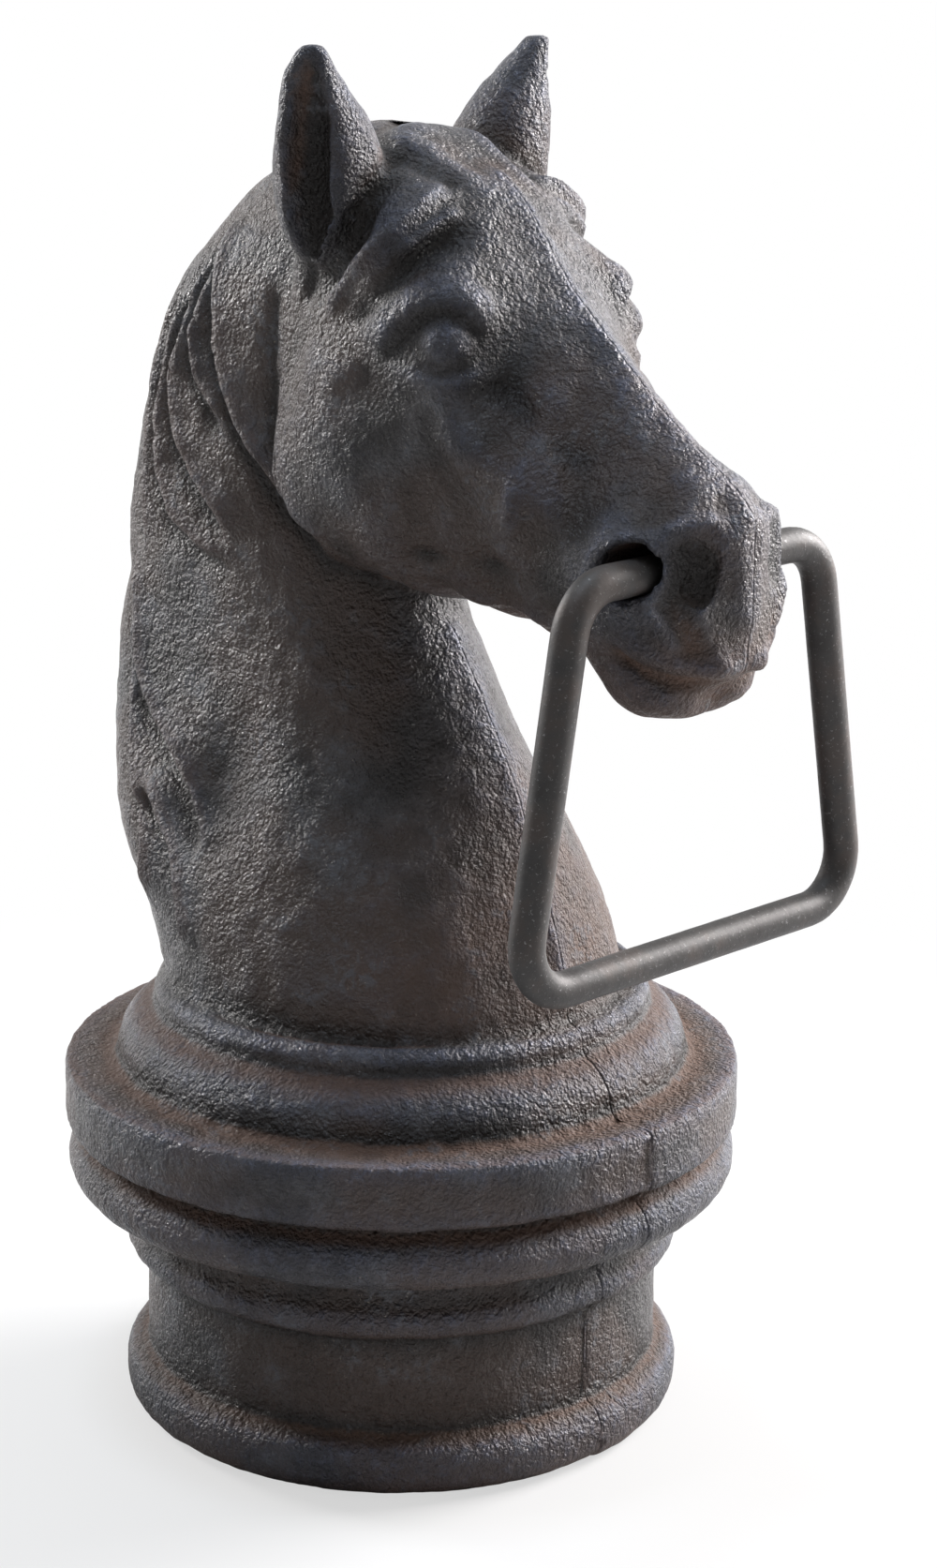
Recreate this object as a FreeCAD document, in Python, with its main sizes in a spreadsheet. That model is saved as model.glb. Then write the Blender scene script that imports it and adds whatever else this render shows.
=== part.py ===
"""Cast iron hitching post top: a horse's head on a moulded socket base, with a swinging bail.

Frame: the origin is the middle of the foot, on the plane that it stands on. Z is up, the horse
faces +X and its left side is +Y. The casting is two hollow halves that meet on the plane Y = 0.
"""
import FreeCAD, Part
import math
import os
import Sketcher
from FreeCAD import Placement, Rotation, Vector

X_AXIS = Vector(1, 0, 0)
Y_AXIS = Vector(0, 1, 0)
Z_AXIS = Vector(0, 0, 1)
QUARTER_TURN = 90

doc = FreeCAD.newDocument("hitching_post")

# Driving dimensions, in millimetres
SIZES = (
    # socket base, from the foot up
    ("foot_radius", 75.0),
    ("foot_height", 15.5),
    ("foot_rounding", 6.0),
    ("drum_radius", 69.0),
    ("lower_bead_height", 48.0),
    ("lower_bead_radius", 5.0),
    ("lower_bead_reach", 74.5),
    ("waist_radius", 72.0),
    ("under_bead_height", 69.5),
    ("under_bead_radius", 7.5),
    ("under_bead_reach", 89.5),
    ("flange_bottom", 79.5),
    ("flange_top", 96.5),
    ("flange_radius", 90.0),
    ("flange_rounding", 1.8),
    ("flange_groove_depth", 6.0),
    ("collar_height", 98.0),
    ("collar_roll_radius", 13.0),
    ("collar_reach", 76.0),
    ("top_bead_radius", 3.8),
    ("top_bead_reach", 66.0),
    ("neck_root_height", 114.0),
    # hollow for the post
    ("socket_radius", 58.5),
    ("socket_depth", 88.0),
    ("throat_radius", 48.0),
    ("wall", 8.5),
    # squares of the grid that the horse is drawn on
    ("square_length", 10.0),
    ("square_width", 10.0),
    ("square_height", 10.0),
    # face
    ("eyeball_radius", 5.6),
    ("eye_socket_length", 17.0),
    ("eye_socket_height", 12.0),
    ("eye_socket_depth", 4.5),
    ("eye_socket_offset", 4.8),
    ("brow_height", 12.0),
    ("brow_depth", 6.0),
    ("brow_length", 24.0),
    ("nostril_height", 21.0),
    ("nostril_width", 20.0),
    ("nostril_depth", 6.5),
    ("mouth_groove_radius", 1.8),
    # bail and its hole
    ("muzzle_half_width", 29.0),
    ("rod_diameter", 9.0),
    ("rod_hole_diameter", 13.0),
    ("rod_seat_gap", 0.3),
    ("bail_side_play", 9.7),
    ("bail_splay", 17.3),
    ("bail_drop", 95.5),
    ("bail_bend_radius", 13.0),
    # bolts and pins that hold the halves together
    ("bolt_diameter", 7.94),
    ("bolt_hole_play", 0.8),
    ("thread_play", 0.1),
    ("hex_across_flats", 12.7),
    ("bolt_head_height", 5.3),
    ("nut_height", 6.8),
    ("washer_diameter", 17.5),
    ("washer_thickness", 1.6),
    ("bolt_overrun", 2.5),
    ("lug_radius", 10.0),
    ("lug_half_length", 14.0),
    ("lug_height", 108.0),
    ("lug_distance", 34.0),
    ("lug_root", 3.0),
    ("pin_diameter", 6.0),
    ("pin_length", 24.0),
    ("pin_play", 0.1),
    ("pin_end_gap", 1.0),
)

sheet = doc.addObject("Spreadsheet::Sheet", "sizes")
for row, (alias, value) in enumerate(SIZES, start=1):
    sheet.set(f"A{row}", alias)
    sheet.set(f"B{row}", str(value))
    sheet.setAlias(f"B{row}", alias)
doc.recompute()


def size(alias):
    """Return one driving dimension from the sheet."""
    return float(sheet.get(alias))


def bind(item, **formulas):
    """Bind properties of a document object to the sheet; a double underscore stands for a dot."""
    for path, formula in formulas.items():
        item.setExpression(path.replace("__", "."), formula)
    return item


def cylinder(name, radius, height, bottom="0 mm"):
    """Make an upright cylinder on the post's axis from formulas on the sheet."""
    item = doc.addObject("Part::Cylinder", name)
    return bind(item, Radius=radius, Height=height, Placement__Base__z=bottom)


def ring(name, reach, thickness, height):
    """Make a half-round moulding: its outermost radius, its own radius and its height."""
    item = doc.addObject("Part::Torus", name)
    item.Placement = Placement(Vector(), Rotation(Z_AXIS, QUARTER_TURN))
    return bind(item, Radius1=f"{reach} - {thickness}", Radius2=thickness, Placement__Base__z=height)


def carved(name, shape):
    """Store a form that is lofted or swept in code as an object of the document."""
    item = doc.addObject("Part::Feature", name)
    item.Shape = shape
    item.Placement = Placement()
    return item


def closed_spline(points):
    """Return a smooth closed wire through points."""
    curve = Part.BSplineCurve()
    curve.interpolate(Points=points, PeriodicFlag=True)
    return Part.Wire(curve.toShape())


def on_grid(along, across, above):
    """Turn grid squares, counted from the neck's root, into millimetres."""
    return Vector(
        along * size("square_length"),
        across * size("square_width"),
        size("neck_root_height") + above * size("square_height"),
    )


# Neck and mane, drawn as level slices in grid squares: height, front edge, widest place,
# back edge, half width, and how full the mane makes the back, from 0 for a plain oval to 1
NECK_SLICES = (
    (0.0, 5.9, 0.0, -5.9, 5.85, 0.0),
    (1.2, 5.8, -0.3, -7.1, 5.75, 0.2),
    (2.6, 5.4, -0.8, -8.0, 5.5, 0.5),
    (3.9, 4.9, -1.5, -8.8, 5.1, 0.8),
    (5.1, 4.35, -2.0, -9.3, 4.6, 0.9),
    (6.4, 3.8, -2.7, -9.7, 4.0, 0.9),
    (7.7, 3.05, -3.2, -9.85, 3.55, 0.9),
    (9.0, 2.25, -3.6, -9.8, 3.25, 0.9),
    (10.3, 1.5, -3.8, -9.5, 3.1, 0.9),
    (11.6, 1.1, -3.7, -9.45, 3.1, 0.9),
    (13.1, 0.8, -3.4, -9.15, 3.1, 0.9),
    (14.8, 0.7, -2.8, -8.8, 3.1, 0.9),
    (16.6, 0.7, -2.0, -8.15, 3.1, 0.9),
    (18.1, 0.7, -1.3, -7.5, 3.0, 0.8),
    (19.4, 0.8, -0.7, -6.3, 2.8, 0.6),
    (20.4, 0.9, -0.3, -5.4, 2.5, 0.2),
    (21.3, 1.0, 0.0, -4.1, 2.1, 0.0),
    (22.1, 1.1, 0.1, -2.5, 1.5, 0.0),
    (22.5, 0.8, 0.2, -1.0, 0.8, 0.0),
)
SLICE_POINTS = 16
FULL_POWER = 0.22


def neck_slice(height, front, middle, back, half_width, fullness, inset=0.0):
    """Return one level slice of the neck: an oval in front, squarer behind where the mane lies."""
    points = []
    for step in range(SLICE_POINTS):
        angle = 2 * math.pi * step / SLICE_POINTS
        along = math.cos(angle)
        across = math.sin(angle)
        reach = front - middle
        if along < 0:
            power = 1 - FULL_POWER * fullness
            reach = middle - back
            along = -abs(along) ** power
            across = math.copysign(abs(across) ** power, across)
        point = on_grid(middle + reach * along, half_width * across, height)
        points.append(point - Vector(math.cos(angle), math.sin(angle), 0) * inset)
    return closed_spline(points)


# Head, drawn as upright slices across it in grid squares. Each has its place along the head,
# the height of the face line, then (half width, height) down one side, and the jaw's height.
HEAD_SLICES = (
    (-0.9, 22.3, ((1.1, 21.9), (2.2, 20.9), (2.9, 18.6), (3.2, 15.6), (2.9, 13.4), (1.7, 12.2)), 11.9),
    (0.5, 22.7, ((1.3, 22.4), (2.6, 21.0), (3.2, 18.8), (3.7, 16.0), (3.1, 12.8), (1.7, 11.5)), 11.3),
    (2.0, 22.2, ((1.5, 21.9), (2.9, 20.8), (3.5, 19.0), (3.8, 15.6), (3.0, 12.3), (1.6, 11.3)), 11.0),
    (3.2, 21.4, ((1.6, 21.2), (2.9, 20.4), (3.5, 19.2), (3.6, 15.5), (2.8, 12.2), (1.4, 11.3)), 11.0),
    (4.2, 20.6, ((1.3, 20.4), (2.4, 19.7), (3.4, 18.7), (3.4, 15.4), (2.6, 12.2), (1.2, 11.2)), 11.0),
    (5.0, 19.6, ((1.1, 19.4), (2.3, 18.8), (3.1, 18.0), (3.2, 15.2), (2.5, 12.1), (1.1, 11.0)), 10.8),
    (5.8, 18.7, ((1.0, 18.4), (1.8, 17.6), (2.2, 16.9), (3.0, 15.0), (2.5, 12.4), (1.1, 11.0)), 10.7),
    (6.8, 17.8, ((0.7, 17.5), (1.5, 16.9), (2.4, 15.8), (2.9, 14.2), (2.5, 12.0), (1.2, 10.7)), 10.5),
    (7.8, 16.9, ((0.6, 16.7), (1.3, 15.9), (2.2, 14.9), (2.7, 13.5), (2.4, 11.7), (1.3, 10.6)), 10.3),
    (8.8, 16.1, ((0.6, 15.9), (1.4, 15.1), (2.3, 14.2), (2.9, 13.0), (2.4, 10.9), (1.3, 9.5)), 9.3),
    (9.6, 15.5, ((0.6, 15.3), (1.6, 14.5), (2.8, 13.8), (3.0, 12.8), (2.5, 10.9), (1.5, 9.4)), 9.2),
    (10.2, 15.1, ((0.6, 15.0), (1.5, 14.3), (2.6, 13.7), (2.85, 12.9), (2.3, 10.8), (1.45, 9.5)), 9.2),
    (10.8, 14.7, ((0.6, 14.6), (1.4, 14.2), (2.0, 13.7), (2.1, 12.6), (1.75, 11.0), (1.1, 9.9)), 9.7),
    (11.2, 14.4, ((0.5, 14.3), (1.1, 14.0), (1.6, 13.4), (1.7, 12.4), (1.4, 11.1), (0.9, 10.3)), 10.1),
    (11.6, 13.9, ((0.4, 13.8), (0.8, 13.6), (1.2, 13.1), (1.2, 12.3), (1.0, 11.4), (0.6, 10.9)), 10.7),
)


def head_slice(along, face, side, jaw, inset=0.0):
    """Return one upright slice across the head, or the wall's inner face with an inset."""
    points = [on_grid(along, 0, face)]
    points += [on_grid(along, -across, above) for across, above in side]
    points.append(on_grid(along, 0, jaw))
    points += [on_grid(along, across, above) for across, above in reversed(side)]
    middle = on_grid(along, 0, (face + jaw) / 2)
    return closed_spline([point + (middle - point).normalize() * inset for point in points])


def loft(slices):
    """Return the smooth solid through closed slices."""
    return Part.makeLoft(slices, True, False)


def disc(middle, radius):
    """Return a level circle as a closed wire."""
    return Part.Wire(Part.makeCircle(radius, middle, Z_AXIS))


neck = carved("neck", loft([neck_slice(*row) for row in NECK_SLICES]))
head = carved("head", loft([head_slice(*row) for row in HEAD_SLICES]))

# One ear, root to tip in grid squares: height, place along and across, radius
EAR_SLICES = (
    (18.6, 0.75, 2.15, 0.7),
    (19.6, 0.5, 2.6, 1.1),
    (20.6, 0.35, 2.8, 1.36),
    (21.6, 0.36, 2.87, 1.4),
    (22.4, 0.45, 3.08, 1.26),
    (23.2, 0.54, 3.35, 1.0),
    (23.9, 0.63, 3.69, 0.68),
    (24.4, 0.8, 3.86, 0.43),
    (24.65, 0.84, 3.9, 0.24),
)
# The hollow of the ear, which opens forward and outward
SCOOP_SLICES = (
    (19.4, 0.4, 3.5, 0.1),
    (19.9, 0.55, 3.66, 0.32),
    (20.6, 0.72, 3.87, 0.52),
    (21.6, 0.78, 3.99, 0.6),
    (22.4, 0.88, 4.13, 0.6),
    (23.2, 0.96, 4.14, 0.5),
    (23.9, 0.98, 4.2, 0.36),
    (24.3, 1.05, 4.2, 0.2),
    (24.5, 1.08, 4.18, 0.08),
)


def ear_loft(slices, side):
    """Return the loft through round slices on one side of the head: 1 is left, -1 is right."""
    width = (size("square_length") + size("square_width")) / 2
    return loft([disc(on_grid(x, side * y, z), r * width) for z, x, y, r in slices])


def tube(points, radius):
    """Return a round bar along a smooth line through points."""
    curve = Part.BSplineCurve()
    curve.interpolate(points)
    path = Part.Wire(curve.toShape())
    start = Part.Wire(Part.makeCircle(radius, points[0], curve.tangent(curve.FirstParameter)[0]))
    return path.makePipeShell([start], True, True)


EYE_PLACE = (4.65, 2.85, 17.85)
EYE_TURN = 62
BROW_PLACE = (4.3, 2.86, 18.7)
NOSTRIL_PLACE = (11.6, 1.75, 13.2)
NOSTRIL_TURN = 35


def egg(name, middle, turn, height, depth, length):
    """Make an egg-shaped body from formulas on the sheet, its depth turned from +X about Z."""
    item = doc.addObject("Part::Ellipsoid", name)
    item.Placement = Placement(middle, Rotation(Z_AXIS, turn))
    return bind(item, Radius1=f"{height} / 2", Radius2=depth, Radius3=f"{length} / 2")


added = [neck, head]
removed = []
eyes = []
for side, label in ((-1, "right"), (1, "left")):
    ear = ear_loft(EAR_SLICES, side).cut(ear_loft(SCOOP_SLICES, side))
    added.append(carved(f"{label}_ear", ear))
    added.append(
        egg(
            f"{label}_brow",
            on_grid(BROW_PLACE[0], side * BROW_PLACE[1], BROW_PLACE[2]),
            side * EYE_TURN,
            "sizes.brow_height",
            "sizes.brow_depth",
            "sizes.brow_length",
        )
    )

    eye_middle = on_grid(EYE_PLACE[0], side * EYE_PLACE[1], EYE_PLACE[2])
    outward = Rotation(Z_AXIS, side * EYE_TURN).multVec(X_AXIS)
    eye = doc.addObject("Part::Sphere", f"{label}_eye")
    eye.Placement = Placement(eye_middle, Rotation())
    bind(eye, Radius="sizes.eyeball_radius")
    eyes.append(eye)
    removed.append(
        egg(
            f"{label}_eye_socket",
            eye_middle + outward * size("eye_socket_offset"),
            side * EYE_TURN,
            "sizes.eye_socket_height",
            "sizes.eye_socket_depth",
            "sizes.eye_socket_length",
        )
    )
    removed.append(
        egg(
            f"{label}_nostril",
            on_grid(NOSTRIL_PLACE[0], side * NOSTRIL_PLACE[1], NOSTRIL_PLACE[2]),
            side * NOSTRIL_TURN,
            "sizes.nostril_height",
            "sizes.nostril_depth",
            "sizes.nostril_width",
        )
    )

MOUTH_LINE = ((9.6, 2.8, 11.2), (10.5, 2.1, 10.7), (11.2, 1.2, 10.35), (11.5, 0.0, 10.3))
mouth_right = [on_grid(x, -y, z) for x, y, z in MOUTH_LINE]
mouth_left = [on_grid(x, y, z) for x, y, z in reversed(MOUTH_LINE[:-1])]
removed.append(carved("mouth", tube(mouth_right + mouth_left, size("mouth_groove_radius"))))

# Socket base: rings and drums turned about the post's axis
foot = cylinder("foot_ring", "sizes.foot_radius", "sizes.foot_height")
doc.recompute()
rounded_foot = doc.addObject("Part::Fillet", "rounded_foot")
rounded_foot.Base = foot
rounded_foot.Edges = [
    (index, size("foot_rounding"), size("foot_rounding"))
    for index, edge in enumerate(foot.Shape.Edges, start=1)
    if edge.Curve.TypeId == "Part::GeomCircle"
]
flange = cylinder(
    "flange_disc", "sizes.flange_radius", "sizes.flange_top - sizes.flange_bottom", "sizes.flange_bottom"
)
doc.recompute()
rounded_flange = doc.addObject("Part::Fillet", "rounded_flange")
rounded_flange.Base = flange
rounded_flange.Edges = [
    (index, size("flange_rounding"), size("flange_rounding"))
    for index, edge in enumerate(flange.Shape.Edges, start=1)
    if edge.Curve.TypeId == "Part::GeomCircle"
]
added += [
    rounded_foot,
    cylinder("drum", "sizes.drum_radius", "sizes.flange_top"),
    ring("lower_bead", "sizes.lower_bead_reach", "sizes.lower_bead_radius", "sizes.lower_bead_height"),
    cylinder(
        "waist",
        "sizes.waist_radius",
        "sizes.flange_bottom - sizes.lower_bead_height",
        "sizes.lower_bead_height",
    ),
    ring("under_bead", "sizes.under_bead_reach", "sizes.under_bead_radius", "sizes.under_bead_height"),
    cylinder(
        "groove_core",
        "sizes.flange_radius - sizes.flange_groove_depth",
        "sizes.flange_top - sizes.under_bead_height",
        "sizes.under_bead_height",
    ),
    rounded_flange,
    ring("collar_roll", "sizes.collar_reach", "sizes.collar_roll_radius", "sizes.collar_height"),
    cylinder(
        "collar_core",
        "sizes.collar_reach - sizes.collar_roll_radius",
        "sizes.collar_height + sizes.collar_roll_radius - sizes.flange_bottom",
        "sizes.flange_bottom",
    ),
    ring("top_bead", "sizes.top_bead_reach", "sizes.top_bead_radius", "sizes.neck_root_height"),
    cylinder(
        "neck_root",
        "sizes.top_bead_reach - sizes.top_bead_radius",
        "sizes.neck_root_height - sizes.flange_bottom",
        "sizes.flange_bottom",
    ),
]

blank = doc.addObject("Part::MultiFuse", "blank")
blank.Shapes = added

# Hollow: the socket for the post, and the cored space above it in the neck and head
socket = cylinder("socket", "sizes.socket_radius", "sizes.socket_depth")

throat = cylinder(
    "throat", "sizes.throat_radius", "sizes.neck_root_height - sizes.socket_depth", "sizes.socket_depth"
)
# The cores follow some of the outer slices, set in by the wall
NECK_CORE_ROWS = (0, 2, 4, 6, 8, 10, 12, 13)
HEAD_CORE_ROWS = (2, 4, 6)
HEAD_CORE_BACK = -2.5
HEAD_CORE_INSET = 1.2
wall = size("wall")
neck_core = carved(
    "neck_core", loft([neck_slice(*NECK_SLICES[row], inset=wall) for row in NECK_CORE_ROWS])
)
head_core_slices = [head_slice(HEAD_CORE_BACK, *HEAD_SLICES[0][1:], inset=HEAD_CORE_INSET * wall)]
head_core_slices += [head_slice(*HEAD_SLICES[row], inset=HEAD_CORE_INSET * wall) for row in HEAD_CORE_ROWS]
head_core = carved("head_core", loft(head_core_slices))
removed += [socket, throat, neck_core, head_core]

shell = doc.addObject("Part::Cut", "shell")
hollow = doc.addObject("Part::MultiFuse", "hollow")
hollow.Shapes = removed
shell.Base = blank
shell.Tool = hollow

# Lugs inside the neck root, front and rear, that the tie bolts pull together
lugs = []
for label, sign in (("front", 1), ("rear", -1)):
    boss = doc.addObject("Part::Cylinder", f"{label}_lug_boss")
    boss.Placement = Placement(Vector(), Rotation(X_AXIS, -QUARTER_TURN))
    bind(
        boss,
        Radius="sizes.lug_radius",
        Height="2 * sizes.lug_half_length",
        Placement__Base__x=f"{sign} * sizes.lug_distance",
        Placement__Base__y="-sizes.lug_half_length",
        Placement__Base__z="sizes.lug_height",
    )
    web = doc.addObject("Part::Box", f"{label}_lug_web")
    start = "sizes.lug_distance" if sign > 0 else "-(sizes.throat_radius + sizes.lug_root)"
    bind(
        web,
        Length="sizes.throat_radius + sizes.lug_root - sizes.lug_distance",
        Width="2 * sizes.lug_half_length",
        Height="2 * sizes.lug_radius",
        Placement__Base__x=start,
        Placement__Base__y="-sizes.lug_half_length",
        Placement__Base__z="sizes.lug_height - sizes.lug_radius",
    )
    lugs += [boss, web]


def cross_bar(name, radius, length, x, z):
    """Make a bar across the casting, centred on the parting plane, from formulas on the sheet."""
    item = doc.addObject("Part::Cylinder", name)
    item.Placement = Placement(Vector(x, 0, z), Rotation(X_AXIS, -QUARTER_TURN))
    return bind(item, Radius=radius, Height=length, Placement__Base__y=f"-({length}) / 2")


# Places of the bail's hole and of the locating pins, along and above, in grid squares
hole_middle = on_grid(10.08, 0, 13.07)
pin_places = {"crest": on_grid(-7.2, 0, 16.0), "muzzle": on_grid(8.9, 0, 11.4)}

crest = pin_places["crest"]
lugs.append(cross_bar("crest_lug", "sizes.lug_radius", "2 * sizes.lug_half_length", crest.x, crest.z))
lugged = doc.addObject("Part::MultiFuse", "lugged_shell")
lugged.Shapes = [shell, *lugs, *eyes]

# Holes across the casting for the bail, the tie bolts and the locating pins
holes = [
    cross_bar(
        "rod_hole",
        "sizes.rod_hole_diameter / 2",
        "2 * sizes.flange_radius",
        hole_middle.x,
        hole_middle.z,
    )
]
for label, sign in (("front", 1), ("rear", -1)):
    holes.append(
        cross_bar(
            f"{label}_bolt_hole",
            "(sizes.bolt_diameter + sizes.bolt_hole_play) / 2",
            "2 * (sizes.lug_half_length + sizes.washer_thickness)",
            sign * size("lug_distance"),
            size("lug_height"),
        )
    )
for label, place in pin_places.items():
    holes.append(
        cross_bar(
            f"{label}_pin_hole",
            "(sizes.pin_diameter + sizes.pin_play) / 2",
            "sizes.pin_length + 2 * sizes.pin_end_gap",
            place.x,
            place.z,
        )
    )

drills = doc.addObject("Part::MultiFuse", "drills")
drills.Shapes = holes
casting = doc.addObject("Part::Cut", "casting")
casting.Base = lugged
casting.Tool = drills

# The casting is parted on Y = 0 into its two halves
pieces = []
for side, label in ((-1, "right"), (1, "left")):
    block = doc.addObject("Part::Box", f"{label}_side")
    bind(
        block,
        Length="4 * sizes.flange_radius",
        Width="2 * sizes.flange_radius",
        Height="6 * sizes.flange_radius",
        Placement__Base__x="-2 * sizes.flange_radius",
        Placement__Base__y="-2 * sizes.flange_radius" if side < 0 else "0 mm",
        Placement__Base__z="-sizes.flange_radius",
    )
    half = doc.addObject("Part::Common", f"{label}_half")
    half.Base = casting
    half.Tool = block
    half.Label = f"{label}_half_casting"
    pieces.append(half)

# Locating pins
for label, place in pin_places.items():
    pin = cross_bar(f"{label}_pin", "sizes.pin_diameter / 2", "sizes.pin_length", place.x, place.z)
    pin.Label = f"{label}_locating_pin"
    pieces.append(pin)


def origin_plane(body, role):
    """Find one of a body's own origin planes."""
    return next(plane for plane in body.Origin.OriginFeatures if plane.Role == role)


def sketch_on(body, name, role, offset=None):
    """Start a sketch on one of a body's own planes."""
    sketch = body.newObject("Sketcher::SketchObject", name)
    sketch.AttachmentSupport = [(origin_plane(body, role), "")]
    sketch.MapMode = "FlatFace"
    if offset is not None:
        sketch.AttachmentOffset = Placement(offset, Rotation())
    return sketch


def named_size(sketch, constraint, name, formula):
    """Add a dimension to a sketch, name it and bind it to the sheet."""
    index = sketch.addConstraint(constraint)
    sketch.renameConstraint(index, name)
    sketch.setExpression(f"Constraints.{name}", formula)


# Bail: one round bar bent to a closed four-sided loop through the muzzle. Half is swept along
# its path and mirrored. It hangs a small gap above the bottom of its hole.
ORIGIN = -1
VERTICAL_AXIS = -2
START = 1
END = 2
CENTRE = 3
rod_radius = size("rod_diameter") / 2
shoulder_formula = "sizes.muzzle_half_width + sizes.bail_side_play + sizes.rod_diameter / 2"
shoulder = size("muzzle_half_width") + size("bail_side_play") + rod_radius
foot_half = shoulder + size("bail_splay")
drop = size("bail_drop")
bend = size("bail_bend_radius")
hinge_drop = size("rod_hole_diameter") / 2 - rod_radius - size("rod_seat_gap")
hinge = hole_middle - Z_AXIS * hinge_drop

bail = doc.addObject("PartDesign::Body", "bail")
path = sketch_on(bail, "bail_path", "YZ_Plane", Vector(0, hinge.z, hinge.x))
lean = math.atan2(foot_half - shoulder, drop)
top_setback = bend * math.tan((math.pi / 2 - lean) / 2)
low_setback = bend * math.tan((math.pi / 2 + lean) / 2)
arm = Vector(math.sin(lean), -math.cos(lean), 0)
corner = Vector(shoulder, 0, 0)
low_corner = Vector(foot_half, -drop, 0)
top_end = corner - X_AXIS * top_setback
arm_start = corner + arm * top_setback
arm_end = low_corner - arm * low_setback
low_end = low_corner - X_AXIS * low_setback
top_centre = top_end - Y_AXIS * bend
low_centre = low_end + Y_AXIS * bend
path.addGeometry(Part.LineSegment(Vector(), top_end), False)
path.addGeometry(
    Part.ArcOfCircle(Part.Circle(top_centre, Z_AXIS, bend), lean, math.pi / 2), False
)
path.addGeometry(Part.LineSegment(arm_start, arm_end), False)
path.addGeometry(
    Part.ArcOfCircle(Part.Circle(low_centre, Z_AXIS, bend), -math.pi / 2, lean), False
)
path.addGeometry(Part.LineSegment(low_end, Vector(0, -drop, 0)), False)
path.addGeometry(Part.Point(corner), True)
path.addGeometry(Part.Point(low_corner), True)
top_line, top_bend, arm_line, low_bend, low_line, top_point, low_point = range(7)
path.addConstraint(
    [
        Sketcher.Constraint("Coincident", top_line, START, ORIGIN, START),
        Sketcher.Constraint("Horizontal", top_line),
        Sketcher.Constraint("Tangent", top_line, END, top_bend, END),
        Sketcher.Constraint("Tangent", top_bend, START, arm_line, START),
        Sketcher.Constraint("Tangent", arm_line, END, low_bend, END),
        Sketcher.Constraint("Tangent", low_bend, START, low_line, START),
        Sketcher.Constraint("Horizontal", low_line),
        Sketcher.Constraint("PointOnObject", low_line, END, VERTICAL_AXIS),
        Sketcher.Constraint("Equal", top_bend, low_bend),
        Sketcher.Constraint("PointOnObject", top_point, START, top_line),
        Sketcher.Constraint("PointOnObject", top_point, START, arm_line),
        Sketcher.Constraint("PointOnObject", low_point, START, low_line),
        Sketcher.Constraint("PointOnObject", low_point, START, arm_line),
    ]
)
named_size(path, Sketcher.Constraint("Radius", top_bend, bend), "bend_radius", "sizes.bail_bend_radius")
named_size(
    path,
    Sketcher.Constraint("DistanceX", ORIGIN, START, top_point, START, shoulder),
    "shoulder_reach",
    shoulder_formula,
)
named_size(
    path,
    Sketcher.Constraint("DistanceX", ORIGIN, START, low_point, START, foot_half),
    "foot_reach",
    f"{shoulder_formula} + sizes.bail_splay",
)
named_size(
    path,
    Sketcher.Constraint("DistanceY", low_line, END, ORIGIN, START, drop),
    "drop_height",
    "sizes.bail_drop",
)
bar = sketch_on(bail, "bail_bar", "XZ_Plane", Vector(hinge.x, hinge.z, 0))
bar.addGeometry(Part.Circle(Vector(), Z_AXIS, rod_radius), False)
bar.addConstraint(Sketcher.Constraint("Coincident", 0, CENTRE, ORIGIN, START))
named_size(bar, Sketcher.Constraint("Diameter", 0, 2 * rod_radius), "rod_width", "sizes.rod_diameter")
half_loop = bail.newObject("PartDesign::AdditivePipe", "half_loop")
half_loop.Profile = bar
half_loop.Spine = path
whole_loop = bail.newObject("PartDesign::Mirrored", "whole_loop")
whole_loop.Originals = [half_loop]
whole_loop.MirrorPlane = (origin_plane(bail, "XZ_Plane"), [""])
bail.Tip = whole_loop
pieces.append(bail)


# Tie bolts, nuts and washers. Each is built about its own middle, with its axis along Y, and
# its placement carries it to its lug.
HEX_SIDES = 6


def hexagon(sketch):
    """Draw a regular hexagon about the sketch's origin, its width across flats bound to the sheet."""
    corner_radius = size("hex_across_flats") / math.sqrt(3)
    turns = [2 * math.pi * side / HEX_SIDES for side in range(HEX_SIDES)]
    corners = [Vector(math.cos(turn), math.sin(turn), 0) * corner_radius for turn in turns]
    lines = [
        sketch.addGeometry(Part.LineSegment(corners[side], corners[(side + 1) % HEX_SIDES]), False)
        for side in range(HEX_SIDES)
    ]
    guide = sketch.addGeometry(Part.Circle(Vector(), Z_AXIS, corner_radius), True)
    sketch.addConstraint(Sketcher.Constraint("Coincident", guide, CENTRE, ORIGIN, START))
    for side, line in enumerate(lines):
        following = lines[(side + 1) % HEX_SIDES]
        sketch.addConstraint(Sketcher.Constraint("Coincident", line, END, following, START))
        sketch.addConstraint(Sketcher.Constraint("PointOnObject", line, START, guide))
    for line in lines[1:]:
        sketch.addConstraint(Sketcher.Constraint("Equal", lines[0], line))
    sketch.addConstraint(Sketcher.Constraint("PointOnObject", lines[0], START, ORIGIN))
    named_size(
        sketch,
        Sketcher.Constraint("Radius", guide, corner_radius),
        "corner_radius",
        "sizes.hex_across_flats / sqrt(3)",
    )


def round_outline(sketch, name, radius, formula):
    """Draw a circle about the sketch's origin, its radius bound to the sheet."""
    index = sketch.addGeometry(Part.Circle(Vector(), Z_AXIS, radius), False)
    sketch.addConstraint(Sketcher.Constraint("Coincident", index, CENTRE, ORIGIN, START))
    named_size(sketch, Sketcher.Constraint("Radius", index, radius), name, formula)


def pad(body, name, sketch, length, backwards=False):
    """Pad a sketch along Y by a formula on the sheet."""
    feature = body.newObject("PartDesign::Pad", name)
    feature.Profile = sketch
    feature.Reversed = backwards
    feature.setExpression("Length", length)
    return feature


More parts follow.
